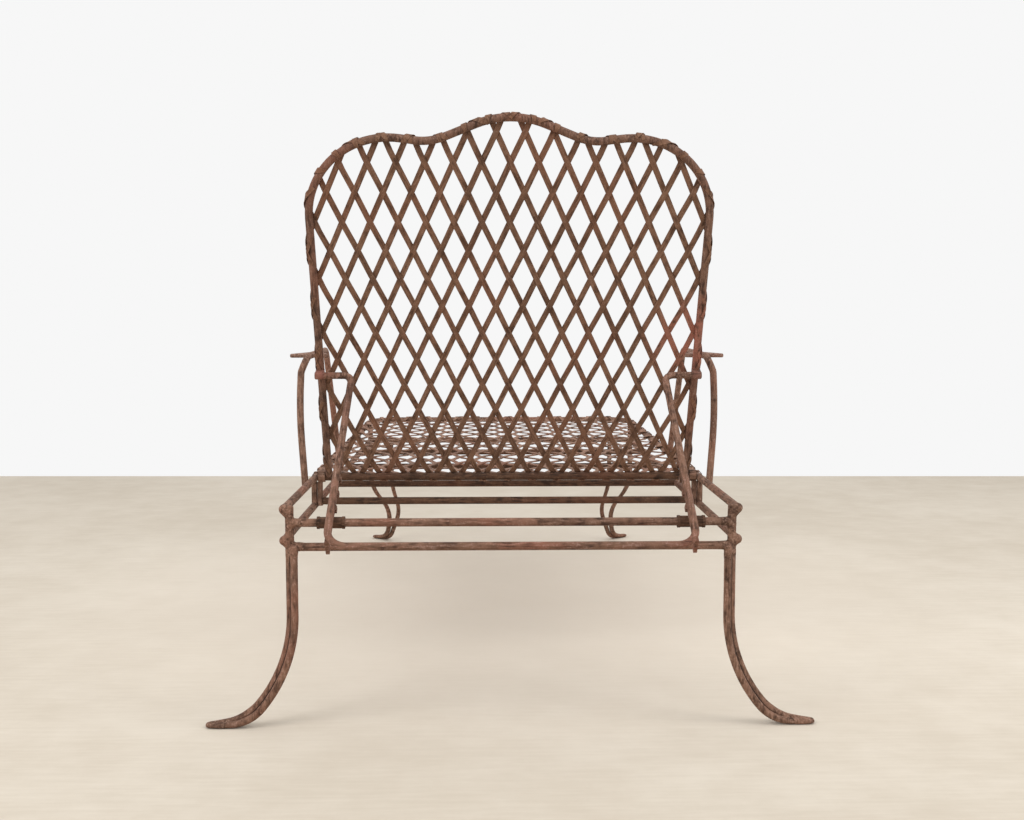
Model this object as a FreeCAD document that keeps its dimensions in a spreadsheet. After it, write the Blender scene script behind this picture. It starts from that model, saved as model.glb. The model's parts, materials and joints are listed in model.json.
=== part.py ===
import FreeCAD, Part
import math
import os
from FreeCAD import Placement, Rotation, Vector

# An iron chaise longue: a frame of round bar, a lattice seat, and a lattice back that
# reclines on a hinge shaft and is held by a notched prop behind it.
# Millimetres, +Z up, +Y towards the foot end, +X to the right for someone behind the back.
# Every Y below is counted from the plane of the rear posts, and point() moves it so that
# the origin lies under the middle of the whole chair.

document = FreeCAD.newDocument("IronChaise")
sheet = document.addObject("Spreadsheet::Sheet", "Sizes")

SIZES = {
    # Stock
    "rod_dia": 12.7,
    "post_dia": 13.0,
    "leg_dia": 11.5,
    "hoop_dia": 12.0,
    "prop_dia": 11.5,
    "mid_post_dia": 10.0,
    "strip_width": 8.5,
    "strip_thickness": 2.0,
    # Clearances
    "weld_gap": 0.2,
    "layer_gap": 0.2,
    "hinge_fit": 0.08,
    "side_play": 0.5,
    "seat_gap": 0.4,
    # What drives the chair's size: widths hang on the back, heights on the seat, runs on the frame
    "back_half_width": 317.5,
    "seat_height": 336.0,
    "hinge_run": 322.0,
    "frame_run": 1365.0,
    # Main frame, from those
    "rail_outset": 26.5,
    "post_inset": 8.0,
    "lower_rail_drop": 48.0,
    "catch_drop": 21.0,
    "rear_bar_drop": 58.0,
    "mid_bar_drop": 40.0,
    "hinge_rise": 4.0,
    "rail_ball_dia": 15.0,
    "rail_overhang": 1.0,
    "post_top_rise": 4.0,
    # Rear legs and feet
    "leg_sweep_angle": 40.0,
    "leg_sweep_radius": 216.5,
    "leg_foot_radius": 58.0,
    "leg_pair_offset": 7.5,
    "foot_length": 28.0,
    "foot_tip_width": 14.0,
    "foot_tip_thickness": 6.0,
    "foot_clear": 0.3,
    # Front legs, counted from the rails and the front of the frame
    "front_knee_outset": 3.0,
    "front_knee_advance": 20.0,
    "front_knee_height": 165.0,
    "front_knee_radius": 120.0,
    "front_ankle_inset": 46.0,
    "front_ankle_advance": 67.0,
    "front_ankle_height": 88.0,
    "front_ankle_radius": 110.0,
    "front_inner_inset": 54.0,
    "front_inner_ankle_inset": 71.0,
    "front_heel_radius": 35.0,
    "front_foot_inset": 11.0,
    "front_foot_advance": 120.0,
    "front_foot_angle": 42.0,
    "front_foot_straight": 32.0,
    # Seat
    "seat_behind_hinge": 20.0,
    "seat_front_overhang": 75.0,
    "seat_corner_radius": 70.0,
    # Lattice
    "lattice_spacing": 44.3,
    "lattice_pitch": 97.5,
    "lattice_start": 87.0,
    "shortest_strip": 24.0,
    "wrap_length": 10.0,
    "wrap_spacing": 12.0,
    "wrap_clear": 16.0,
    # Arms
    "arm_rise": 218.0,
    "arm_rear_lead": 22.0,
    "arm_length": 377.0,
    "arm_outset": 6.0,
    "arm_bow": 15.0,
    "arm_bow_share": 0.546,
    "arm_shoulder_out": 11.0,
    "arm_shoulder_drop": 27.0,
    "arm_toe_out": 8.0,
    "arm_front_rake": 70.0,
    "arm_bend_radius": 22.0,
    "arm_shoulder_radius": 20.0,
    "arm_bow_radius": 900.0,
    "arm_foot_drop": 8.0,
    "arm_pad_rear_width": 72.0,
    "arm_pad_front_width": 18.0,
    "arm_pad_length": 95.0,
    "arm_pad_lead": 30.0,
    "arm_pad_thickness": 7.0,
    "arm_pad_corner": 5.0,
    "arm_pad_round": 2.5,
    # Back
    "hinge_eye_dia": 20.0,
    "hinge_eye_length": 12.0,
    "back_lean_angle": 24.5,
    "back_height": 657.0,
    "back_corner_drop": 24.0,
    "back_corner_ratio": 0.41,
    "back_dip_drop": 51.0,
    "back_dip_ratio": 0.39,
    "back_dip_radius": 90.0,
    "back_peak_radius": 140.0,
    # Prop and catch
    "pivot_along_back": 210.0,
    "pivot_behind_back": 14.5,
    "clip_width": 17.0,
    "clip_wall": 2.2,
    "prop_top_inset": 53.5,
    "prop_inset": 42.5,
    "prop_below_catch": 60.0,
    "prop_bend_radius": 30.0,
    "prop_end_radius": 14.0,
    "collar_length": 42.0,
    "collar_dia": 17.5,
    "collar_rim_dia": 19.0,
    "collar_rim_width": 4.0,
    "catch_depth": 18.0,
    "rack_thickness": 6.0,
    "rack_inset": 5.0,
    "rack_root": 3.0,
    "notch_pitch": 29.8,
    "notch_play": 12.0,
    "tooth_depth": 2.5,
    "rack_tab_depth": 31.0,
    "rack_tab_width": 9.0,
    "rack_tab_thickness": 7.0,
    "rack_tab_lead": 42.0,
}
NOTCHES = 4

for row, (name, value) in enumerate(SIZES.items(), start=1):
    sheet.set(f"A{row}", name)
    sheet.set(f"B{row}", str(value))
    sheet.setAlias(f"B{row}", name)
document.recompute()


def size(name):
    return float(sheet.get(name))


def direction(degrees):
    turn = math.radians(degrees)
    return Vector(math.cos(turn), math.sin(turn), 0)


ROD_RADIUS = size("rod_dia") / 2
PROP_RADIUS = size("prop_dia") / 2
WELD_GAP = size("weld_gap")
RIGHT = Vector(1, 0, 0)
UP = Vector(0, 0, 1)
SIDES = {"left": -1, "right": 1}

# Where the main lines of the chair lie.
BACK_X = size("back_half_width")
RAIL_X = BACK_X + size("rail_outset")
POST_X = RAIL_X - size("post_inset")
PROP_TOP_X = BACK_X - size("prop_top_inset")
PROP_FOOT_X = BACK_X - size("prop_inset")
ARM_X = RAIL_X + size("arm_outset")
ARM_FRONT_X = ARM_X + size("arm_toe_out")
UPPER_Z = size("seat_height")
LOWER_Z = UPPER_Z - size("lower_rail_drop")
CATCH_Z = UPPER_Z - size("catch_drop")
REAR_BAR_Z = UPPER_Z - size("rear_bar_drop")
MID_BAR_Z = UPPER_Z - size("mid_bar_drop")
HINGE_Z = UPPER_Z + size("hinge_rise")
ARM_Z = UPPER_Z + size("arm_rise")
HINGE_Y = size("hinge_run")
FRONT_Y = size("frame_run")
SEAT_REAR_Y = HINGE_Y + size("seat_behind_hinge")
SEAT_FRONT_Y = FRONT_Y + size("seat_front_overhang")
ARM_REAR_Y = HINGE_Y - size("arm_rear_lead")
ARM_FRONT_Y = ARM_REAR_Y + size("arm_length")
ARM_BEND_Y = ARM_FRONT_Y - size("arm_front_rake")

# The prop at rest, in the side view: where it pivots on the back, and the direction of its arms,
# which pass behind the catch bar at catch_depth from its axis and spread a little towards their foot.
LEAN = math.radians(size("back_lean_angle"))
UP_BACK = Vector(0, -math.sin(LEAN), math.cos(LEAN))
BEHIND_BACK = Vector(0, -math.cos(LEAN), -math.sin(LEAN))
HINGE = Vector(0, HINGE_Y, HINGE_Z)
PIVOT = HINGE + UP_BACK * size("pivot_along_back") + BEHIND_BACK * size("pivot_behind_back")
CATCH = Vector(0, 0, CATCH_Z)
to_catch = CATCH - PIVOT
ARM_TILT = math.atan2(to_catch.y, to_catch.z) + math.asin(size("catch_depth") / to_catch.Length)
DOWN_ARM = Vector(0, math.sin(ARM_TILT), math.cos(ARM_TILT))
UNDER_ARM = Vector(0, -DOWN_ARM.z, DOWN_ARM.y)
CATCH_ALONG_ARM = to_catch.dot(DOWN_ARM)
PROP_REACH = CATCH_ALONG_ARM + size("prop_below_catch")
BAIL_FOOT = PIVOT + DOWN_ARM * PROP_REACH
PROP_SPREAD = (PROP_FOOT_X - PROP_TOP_X) / PROP_REACH
PROP_CATCH_X = PROP_TOP_X + PROP_SPREAD * CATCH_ALONG_ARM

# Each leg is a pair of bars that lie against each other at the foot, the inner one lower.
PAIR_DROP = size("leg_pair_offset")
PAIR_REACH = (size("post_dia") + size("leg_dia")) / 2 + WELD_GAP
PAIR_ACROSS = math.sqrt(PAIR_REACH ** 2 - PAIR_DROP ** 2)
INNER_FOOT_Z = size("leg_dia") / 2 + size("foot_clear")
OUTER_FOOT_Z = INNER_FOOT_Z + PAIR_DROP
FOOT_INNER_EDGE = PAIR_ACROSS + size("leg_dia") / 2
FOOT_OUTER_EDGE = -size("post_dia") / 2
FOOT_CENTRE = (FOOT_INNER_EDGE + FOOT_OUTER_EDGE) / 2

# The chair's ends along Y, from which the middle is found.
FOOT_POINTS_TO = direction(size("front_foot_angle"))
FOOT_ACROSS = direction(size("front_foot_angle") + 90)
FRONT_FOOT = Vector(RAIL_X - size("front_foot_inset"), FRONT_Y + size("front_foot_advance"), 0)
tip_corner = FOOT_POINTS_TO * size("foot_length")
tip_corner += FOOT_ACROSS * (FOOT_CENTRE + size("foot_tip_width") / 2)
FRONT_END = (FRONT_FOOT + tip_corner).y
MIDDLE = Vector(0, (FRONT_END + BAIL_FOOT.y - PROP_RADIUS) / 2, 0)


def point(x, y, z):
    return Vector(x, y, z) - MIDDLE


def side_point(side, place):
    """A point given for the right-hand side, on the chosen side."""
    return point(SIDES[side] * place.x, place.y, place.z)


# Bars

def rounded_path(corners, radii):
    """Straight runs through the corners, with a tangent arc at each inner one."""
    edges = []
    start = corners[0]
    for before, corner, after, radius in zip(corners, corners[1:], corners[2:], radii):
        back = (before - corner).normalize()
        ahead = (after - corner).normalize()
        half_turn = (math.pi - back.getAngle(ahead)) / 2
        reach = radius * math.tan(half_turn)
        middle = corner + (back + ahead).normalize() * (radius / math.cos(half_turn) - radius)
        enter = corner + back * reach
        leave = corner + ahead * reach
        edges.append(Part.LineSegment(start, enter).toShape())
        edges.append(Part.Arc(enter, middle, leave).toShape())
        start = leave
    edges.append(Part.LineSegment(start, corners[-1]).toShape())
    return Part.Wire(edges)


def bent_rod(label, corners, radii, diameter, growth="0"):
    """A round bar bent along a rounded path. growth widens its radius, for a cutting tool."""
    path = document.addObject("Part::Feature", label + "_path")
    path.Shape = rounded_path(corners, radii)
    section = document.addObject("Part::Circle", label + "_section")
    section.setExpression("Radius", f"Sizes.{diameter} / 2 + {growth}")
    section.Placement = Placement(corners[0], Rotation(UP, corners[1] - corners[0]))
    rod = document.addObject("Part::Sweep", label)
    rod.Sections = [section]
    rod.Spine = (path, [f"Edge{n}" for n in range(1, len(path.Shape.Edges) + 1)])
    rod.Solid = True
    return rod


def straight_rod(label, start, end, diameter, growth="0"):
    rod = document.addObject("Part::Cylinder", label)
    rod.setExpression("Radius", f"Sizes.{diameter} / 2 + {growth}")
    rod.Height = (end - start).Length
    rod.Placement = Placement(start, Rotation(UP, end - start))
    return rod


def joined(label, operation, pieces):
    result = document.addObject(operation, label)
    result.Shapes = pieces
    return result


def coped(label, bar, neighbours):
    """A bar cut back to the shapes of the bars that it meets."""
    result = document.addObject("Part::Cut", label)
    result.Base = bar
    if len(neighbours) > 1:
        result.Tool = joined(label + "_neighbours", "Part::MultiFuse", neighbours)
    else:
        result.Tool = neighbours[0]
    return result


parts = []


def keep(piece):
    parts.append(piece)


GAP = "Sizes.weld_gap"

# Rear legs: two bars side by side, the outer one running up as the post that carries the rails.

SWEEP = math.radians(size("leg_sweep_angle"))
FOOT_TURN = math.tan(math.pi / 4 - SWEEP / 2)


def sloping_length(widening):
    """How long a rear leg bar slopes, corner to corner, so that its two arcs just fit."""
    at_knee = (size("leg_sweep_radius") + widening) * math.tan(SWEEP / 2)
    at_ankle = (size("leg_foot_radius") + widening) * FOOT_TURN
    return at_knee + at_ankle + WELD_GAP


REAR_FOOT_X = POST_X + sloping_length(0) * math.sin(SWEEP) + size("leg_foot_radius") * FOOT_TURN + PAIR_DROP


def swept_leg_corners(top, foot_height, widening):
    """Corners of a rear leg bar: straight down, out at the sweep angle, then level at the foot."""
    slope = sloping_length(widening)
    ankle = Vector(top.x + slope * math.sin(SWEEP), top.y, foot_height)
    knee = Vector(top.x, top.y, foot_height + slope * math.cos(SWEEP))
    end = Vector(REAR_FOOT_X, top.y, foot_height)
    radii = [size("leg_sweep_radius") + widening, size("leg_foot_radius") + widening]
    return [top, knee, ankle, end], radii


OUTER_TOP = Vector(POST_X, 0, UPPER_Z + size("post_top_rise"))
INNER_TOP = Vector(POST_X - PAIR_DROP, -PAIR_ACROSS, REAR_BAR_Z)


def rear_leg_outer(side, label, growth="0"):
    corners, radii = swept_leg_corners(OUTER_TOP, OUTER_FOOT_Z, 0)
    return bent_rod(label, [side_point(side, c) for c in corners], radii, "post_dia", growth)


def rear_leg_inner(side, label):
    corners, radii = swept_leg_corners(INNER_TOP, INNER_FOOT_Z, PAIR_DROP)
    return bent_rod(label, [side_point(side, c) for c in corners], radii, "leg_dia")


def cross_bar(label, half_width, run, height, diameter="rod_dia", growth="0"):
    left = point(-half_width, run, height)
    right = point(half_width, run, height)
    return straight_rod(label, left, right, diameter, growth)


post_tools = {side: rear_leg_outer(side, f"post_space_{side}", GAP) for side in SIDES}
rear_bar_tool = cross_bar("rear_bar_space", POST_X, 0, REAR_BAR_Z, growth=GAP)
for side in SIDES:
    keep(rear_leg_outer(side, f"rear_leg_outer_{side}"))
    inner = rear_leg_inner(side, f"rear_leg_inner_{side}_blank")
    keep(coped(f"rear_leg_inner_{side}", inner, [rear_bar_tool]))

# Cross bars between the rear posts

both_posts = list(post_tools.values())
rear_bar_blank = cross_bar("rear_bar_blank", POST_X, 0, REAR_BAR_Z)
keep(coped("rear_bar", rear_bar_blank, both_posts))
catch_bar_blank = cross_bar("catch_bar_blank", POST_X, 0, CATCH_Z)
keep(coped("catch_bar", catch_bar_blank, both_posts))


def catch_collar(side):
    """A spool-shaped sleeve on the catch bar, turned about its own axis."""
    body = document.addObject("PartDesign::Body", f"catch_collar_{side}")
    sketch = body.newObject("Sketcher::SketchObject", f"collar_profile_{side}")
    plane = next(f for f in body.Origin.OriginFeatures if f.Role == "XY_Plane")
    sketch.AttachmentSupport = (plane, "")
    sketch.MapMode = "FlatFace"
    half = size("collar_length") / 2
    rim = half - size("collar_rim_width")
    bore = ROD_RADIUS + WELD_GAP
    waist = size("collar_dia") / 2
    edge = size("collar_rim_dia") / 2
    outline = [(-half, bore), (-half, edge), (-rim, edge), (-rim, waist),
               (rim, waist), (rim, edge), (half, edge), (half, bore)]
    corners = [Vector(x, y, 0) for x, y in outline]
    for start, end in zip(corners, corners[1:] + corners[:1]):
        sketch.addGeometry(Part.LineSegment(start, end), False)
    turned = body.newObject("PartDesign::Revolution", f"collar_turned_{side}")
    turned.Profile = sketch
    turned.ReferenceAxis = (sketch, ["H_Axis"])
    turned.Angle = 360
    body.Placement = Placement(side_point(side, CATCH + RIGHT * PROP_CATCH_X), Rotation())
    return body


for side in SIDES:
    keep(catch_collar(side))

# Front legs: the outer bar hangs from the seat frame, the inner one from the front cross bar,
# and both come together in a foot that is kicked outwards and forwards.

KNEE_Y = FRONT_Y + size("front_knee_advance")
ANKLE_Y = FRONT_Y + size("front_ankle_advance")
FRONT_RADII = [size("front_knee_radius"), size("front_ankle_radius"), size("front_heel_radius")]


def front_leg_outer(side, label, growth="0"):
    foot = FRONT_FOOT + UP * OUTER_FOOT_Z
    corners = [
        Vector(RAIL_X, FRONT_Y, UPPER_Z),
        Vector(RAIL_X, FRONT_Y, LOWER_Z - ROD_RADIUS),
        Vector(RAIL_X + size("front_knee_outset"), KNEE_Y, size("front_knee_height")),
        Vector(RAIL_X - size("front_ankle_inset"), ANKLE_Y, size("front_ankle_height")),
        foot - FOOT_POINTS_TO * size("front_foot_straight"),
        foot,
    ]
    radii = [size("front_knee_radius")] + FRONT_RADII
    return bent_rod(label, [side_point(side, c) for c in corners], radii, "post_dia", growth)


def front_leg_inner(side, label):
    foot = FRONT_FOOT + FOOT_ACROSS * PAIR_ACROSS + UP * INNER_FOOT_Z
    corners = [
        Vector(RAIL_X - size("front_inner_inset"), FRONT_Y, LOWER_Z),
        Vector(RAIL_X - size("front_inner_inset"), KNEE_Y, size("front_knee_height")),
        Vector(RAIL_X - size("front_inner_ankle_inset"), ANKLE_Y, size("front_ankle_height")),
        foot - FOOT_POINTS_TO * size("front_foot_straight"),
        foot,
    ]
    placed = [side_point(side, c) for c in corners]
    return bent_rod(label, placed, FRONT_RADII, "leg_dia")


def rail_space(label, side, height):
    start = side_point(side, Vector(RAIL_X, 0, height))
    end = side_point(side, Vector(RAIL_X, FRONT_Y, height))
    return straight_rod(label, start, end, "rod_dia", GAP)


front_tools = {side: front_leg_outer(side, f"front_leg_space_{side}", GAP) for side in SIDES}
front_bar_blank = cross_bar("front_bar_blank", RAIL_X, FRONT_Y, LOWER_Z)
rail_tools = {side: rail_space(f"lower_rail_space_{side}", side, LOWER_Z) for side in SIDES}
keep(coped("front_bar", front_bar_blank, [*front_tools.values(), *rail_tools.values()]))
front_bar_tool = cross_bar("front_bar_space", RAIL_X, FRONT_Y, LOWER_Z, growth=GAP)


# Seat frame: one bar bent round both sides and the front, and a straight bar across its rear.

def seat_corners():
    rear = SEAT_REAR_Y - ROD_RADIUS
    front = SEAT_FRONT_Y
    corners = [(-RAIL_X, rear), (-RAIL_X, front), (RAIL_X, front), (RAIL_X, rear)]
    return [point(x, y, UPPER_Z) for x, y in corners]


def seat_hoop(label, growth="0"):
    radius = size("seat_corner_radius")
    return bent_rod(label, seat_corners(), [radius, radius], "rod_dia", growth)


keep(seat_hoop("seat_frame"))
seat_tool = seat_hoop("seat_frame_space", GAP)
seat_rear_blank = cross_bar("seat_rear_blank", RAIL_X, SEAT_REAR_Y, UPPER_Z)
keep(coped("seat_rear_bar", seat_rear_blank, [seat_tool]))
seat_rear_tool = cross_bar("seat_rear_space", RAIL_X, SEAT_REAR_Y, UPPER_Z, growth=GAP)
for side in SIDES:
    outer = front_leg_outer(side, f"front_leg_outer_{side}_blank")
    keep(coped(f"front_leg_outer_{side}", outer, [seat_tool]))
    inner = front_leg_inner(side, f"front_leg_inner_{side}_blank")
    keep(coped(f"front_leg_inner_{side}", inner, [front_bar_tool]))


# Feet: the bars' ends flattened into a tapering pad that lies on the floor.

def foot_section(label, along, low, high, height):
    """A rectangle across the foot's length, standing on the floor."""
    wire = Part.makePolygon([
        Vector(along, low, 0), Vector(along, high, 0),
        Vector(along, high, height), Vector(along, low, height), Vector(along, low, 0),
    ])
    section = document.addObject("Part::Feature", label)
    section.Shape = wire
    return section


def foot_pad(label, place, turn, across):
    """A pad from the bars' cut ends to the tip. across is 1 or -1 for the inner bar's side."""
    low, high = sorted([across * FOOT_OUTER_EDGE, across * FOOT_INNER_EDGE])
    root = OUTER_FOOT_Z + size("post_dia") / 2
    tip = size("foot_tip_thickness")
    length = size("foot_length")
    middle = across * FOOT_CENTRE
    narrow = size("foot_tip_width") / 2
    sections = [
        foot_section(label + "_root", WELD_GAP, low, high, root),
        foot_section(label + "_waist", length / 2, low, high, (root + tip) / 3),
        foot_section(label + "_tip", length, middle - narrow, middle + narrow, tip),
    ]
    pad = document.addObject("Part::Loft", label)
    pad.Sections = sections
    pad.Solid = True
    pad.Ruled = True
    pad.Placement = Placement(place, Rotation(UP, turn))
    return pad


for side, sign in SIDES.items():
    rear_turn = 0 if sign > 0 else 180
    rear_place = side_point(side, Vector(REAR_FOOT_X, 0, 0))
    keep(foot_pad(f"rear_foot_{side}", rear_place, rear_turn, -sign))
    front_turn = size("front_foot_angle") if sign > 0 else 180 - size("front_foot_angle")
    keep(foot_pad(f"front_foot_{side}", side_point(side, FRONT_FOOT), front_turn, sign))


# Side rails, with a forged ball at the rear end, lapped against the posts

def side_rail(label, side, start_y, end_y, height):
    start = side_point(side, Vector(RAIL_X, start_y, height))
    end = side_point(side, Vector(RAIL_X, end_y, height))
    bar = straight_rod(label + "_bar", start, end, "rod_dia")
    ball = document.addObject("Part::Sphere", label + "_ball")
    ball.setExpression("Radius", "Sizes.rail_ball_dia / 2")
    ball.Placement = Placement(start, Rotation())
    return joined(label + "_blank", "Part::MultiFuse", [bar, ball])


upper_end = SEAT_REAR_Y - ROD_RADIUS - WELD_GAP
upper_tools = {side: rail_space(f"upper_rail_space_{side}", side, UPPER_Z) for side in SIDES}
for side in SIDES:
    upper = side_rail(f"upper_rail_{side}", side, -size("rail_overhang"), upper_end, UPPER_Z)
    keep(coped(f"upper_rail_{side}", upper, [post_tools[side]]))
    lower = side_rail(f"lower_rail_{side}", side, -size("rail_overhang"), FRONT_Y, LOWER_Z)
    keep(coped(f"lower_rail_{side}", lower, [post_tools[side], front_tools[side]]))

lower_rails = list(rail_tools.values())
bay = (FRONT_Y - HINGE_Y) / 4
for count, name in enumerate(("rear", "middle", "front"), start=1):
    blank = cross_bar(f"stretcher_{name}_blank", RAIL_X, HINGE_Y + count * bay, LOWER_Z)
    keep(coped(f"stretcher_{name}", blank, lower_rails))

# Hinge eyes, and the mid posts under them: an outer bar between the rails, and an inner bar
# that stands against it, is let into the rails and carries the eye.

EYE_START = BACK_X + ROD_RADIUS + size("side_play")
EYE_END = EYE_START + size("hinge_eye_length")
INNER_POST_X = RAIL_X - size("mid_post_dia") - WELD_GAP


def hinge_barrel(label, side, diameter, growth="0", end_x=EYE_END):
    start = side_point(side, HINGE + RIGHT * EYE_START)
    end = side_point(side, HINGE + RIGHT * end_x)
    return straight_rod(label, start, end, diameter, growth)


def mid_post_bar(label, side, x, low, high):
    start = side_point(side, Vector(x, HINGE_Y, low))
    end = side_point(side, Vector(x, HINGE_Y, high))
    return straight_rod(label, start, end, "mid_post_dia")


for side in SIDES:
    barrel = hinge_barrel(f"hinge_eye_{side}_blank", side, "hinge_eye_dia")
    bore = hinge_barrel(f"hinge_eye_{side}_bore", side, "rod_dia", "Sizes.hinge_fit")
    keep(coped(f"hinge_eye_{side}", barrel, [bore, seat_rear_tool]))
    eye_space = hinge_barrel(f"hinge_eye_{side}_space", side, "hinge_eye_dia", GAP, RAIL_X)
    both_rails = [rail_tools[side], upper_tools[side]]
    outer = mid_post_bar(f"mid_post_outer_{side}_blank", side, RAIL_X, LOWER_Z, UPPER_Z)
    keep(coped(f"mid_post_outer_{side}", outer, both_rails))
    inner = mid_post_bar(f"mid_post_inner_{side}_blank", side, INNER_POST_X, LOWER_Z, HINGE_Z)
    keep(coped(f"mid_post_inner_{side}", inner, [eye_space, *both_rails]))
keep(cross_bar("mid_bar", INNER_POST_X - size("mid_post_dia") / 2 - WELD_GAP, HINGE_Y, MID_BAR_Z))


# Arms: a bar bent into a hoop, its rear foot beside the rail and its front foot on the seat frame,
# with a flat pad let in on both sides of its top, which flares towards the rear.

ARM_FOOT_X = RAIL_X + ROD_RADIUS + size("hoop_dia") / 2 + WELD_GAP
ARM_LINE = Vector(ARM_FRONT_X - ARM_X, ARM_BEND_Y - ARM_REAR_Y, 0)


def arm_bar(label, side, growth="0"):
    corners = [
        Vector(ARM_FOOT_X, ARM_REAR_Y, UPPER_Z - size("arm_foot_drop")),
        Vector(ARM_X + size("arm_bow"), ARM_REAR_Y, UPPER_Z + size("arm_rise") * size("arm_bow_share")),
        Vector(ARM_X + size("arm_shoulder_out"), ARM_REAR_Y, ARM_Z - size("arm_shoulder_drop")),
        Vector(ARM_X, ARM_REAR_Y, ARM_Z),
        Vector(ARM_FRONT_X, ARM_BEND_Y, ARM_Z),
        Vector(RAIL_X, ARM_FRONT_Y, UPPER_Z),
    ]
    bend = size("arm_bend_radius")
    radii = [size("arm_bow_radius"), size("arm_shoulder_radius"), bend, bend]
    return bent_rod(label, [side_point(side, c) for c in corners], radii, "hoop_dia", growth)


def edges_like(shape, test):
    """The names of a shape's edges whose direction at the middle passes a test."""
    found = []
    for number, edge in enumerate(shape.Edges, start=1):
        middle = (edge.FirstParameter + edge.LastParameter) / 2
        if test(edge.tangentAt(middle)):
            found.append(f"Edge{number}")
    return found


def arm_pad(side):
    """A flat plate that flares towards the rear, its corners rounded and its edges eased, cut for the hoop."""
    body = document.addObject("PartDesign::Body", f"arm_pad_{side}_blank")
    sketch = body.newObject("Sketcher::SketchObject", f"arm_pad_outline_{side}")
    plane = next(f for f in body.Origin.OriginFeatures if f.Role == "XY_Plane")
    sketch.AttachmentSupport = (plane, "")
    sketch.MapMode = "FlatFace"
    rear = RIGHT * (size("arm_pad_rear_width") / 2)
    front = RIGHT * (size("arm_pad_front_width") / 2)
    far = Vector(0, size("arm_pad_length"), 0)
    outline = [-rear, rear, far + front, far - front]
    for first, second in zip(outline, outline[1:] + outline[:1]):
        sketch.addGeometry(Part.LineSegment(first, second), False)
    pad = body.newObject("PartDesign::Pad", f"arm_pad_plate_{side}")
    pad.Profile = sketch
    pad.setExpression("Length", "Sizes.arm_pad_thickness")
    document.recompute()
    rounded = body.newObject("PartDesign::Fillet", f"arm_pad_rounded_{side}")
    rounded.Base = (pad, edges_like(pad.Shape, lambda tangent: abs(tangent.z) > 0.9))
    rounded.setExpression("Radius", "Sizes.arm_pad_corner")
    document.recompute()
    eased = body.newObject("PartDesign::Fillet", f"arm_pad_eased_{side}")
    eased.Base = (rounded, edges_like(rounded.Shape, lambda tangent: abs(tangent.z) < 0.1))
    eased.setExpression("Radius", "Sizes.arm_pad_round")
    forward = Vector(ARM_LINE).normalize()
    corner = Vector(ARM_X, ARM_REAR_Y, ARM_Z - size("arm_pad_thickness") / 2) + forward * size("arm_pad_lead")
    toe_out = Rotation(UP, -SIDES[side] * math.degrees(math.atan2(forward.x, forward.y)))
    body.Placement = Placement(side_point(side, corner), toe_out)
    return coped(f"arm_pad_{side}", body, [arm_bar(f"arm_hoop_{side}_space", side, GAP)])


for side in SIDES:
    keep(coped(f"arm_hoop_{side}", arm_bar(f"arm_hoop_{side}_blank", side), [seat_tool]))
    keep(arm_pad(side))

# Lattice: two layers of flat strips that cross, each strip ending at the bars around it.

def lattice_layer(label, region, start, rising, place):
    """Strips of one layer inside a flat region. rising is 1 or -1 for the way that they lean."""
    spacing = size("lattice_spacing")
    slope = spacing / size("lattice_pitch")
    thickness = size("strip_thickness")
    box = region.BoundBox
    span = box.DiagonalLength
    reach = math.ceil((box.XLength / 2 + box.YLength * slope + spacing) / spacing)
    strips = []
    for count in range(-2 * reach, 2 * reach + 1):
        low = -(thickness + size("layer_gap") / 2) if rising < 0 else size("layer_gap") / 2
        strip = Part.makeBox(size("strip_width"), 2 * span, thickness,
                             Vector(-size("strip_width") / 2, -span, low))
        tilt = Rotation(UP, -rising * math.degrees(math.atan(slope)))
        strip.Placement = Placement(Vector(count * spacing, start, 0), tilt)
        for solid in strip.common(region).Solids:
            if solid.Volume > size("shortest_strip") * size("strip_width") * thickness:
                strips.append(solid)
    layer = document.addObject("Part::Feature", label)
    layer.Shape = Part.makeCompound(strips)
    layer.Placement = place
    return layer


WRAP_BORE = ROD_RADIUS + WELD_GAP
WRAP_RADIUS = WRAP_BORE + size("strip_thickness")


def lattice_region(outline):
    """The space inside a closed line of bars and their wraps, as deep as both layers."""
    inside = outline.makeOffset2D(-(WRAP_RADIUS + WELD_GAP))
    depth = 4 * size("strip_thickness")
    return Part.Face(inside).extrude(UP * depth).translated(UP * (-depth / 2))


def strip_ends(outline, start):
    """Where the strips' middle lines meet the bars: how far round the outline, place and direction."""
    slope = size("lattice_spacing") / size("lattice_pitch")
    box = outline.BoundBox
    reach = math.ceil((box.XLength / 2 + box.YLength * slope) / size("lattice_spacing"))
    ends = []
    for rising in (1, -1):
        for count in range(-2 * reach, 2 * reach + 1):
            foot = Vector(count * size("lattice_spacing"), start, 0)
            run = Vector(rising * slope, 1, 0) * (2 * box.YLength)
            line = Part.LineSegment(foot - run, foot + run).toShape()
            passed = 0
            for edge in outline.Edges:
                for vertex in edge.section(line).Vertexes:
                    along = edge.Curve.parameter(vertex.Point)
                    begin = edge.valueAt(edge.FirstParameter)
                    round_to_here = passed + (vertex.Point - begin).Length
                    ends.append((round_to_here, vertex.Point, edge.tangentAt(along)))
                passed += edge.Length
    return sorted(ends, key=lambda end: end[0])


def strip_wraps(label, outline, start, clear_places, place):
    """Bands round the bars where strips end. Strips that end close together share a band."""
    length = size("wrap_length")
    bands = []
    last = None
    for along, spot, tangent in strip_ends(outline, start):
        near_last = last is not None and along - last < size("wrap_spacing")
        if near_last or any((spot - other).Length < size("wrap_clear") for other in clear_places):
            continue
        base = spot - tangent * (length / 2)
        band = Part.makeCylinder(WRAP_RADIUS, length, base, tangent)
        bands.append(band.cut(Part.makeCylinder(WRAP_BORE, length, base, tangent)))
        last = along
    wraps = document.addObject("Part::Feature", label)
    wraps.Shape = Part.makeCompound(bands)
    wraps.Placement = place
    return wraps


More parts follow.
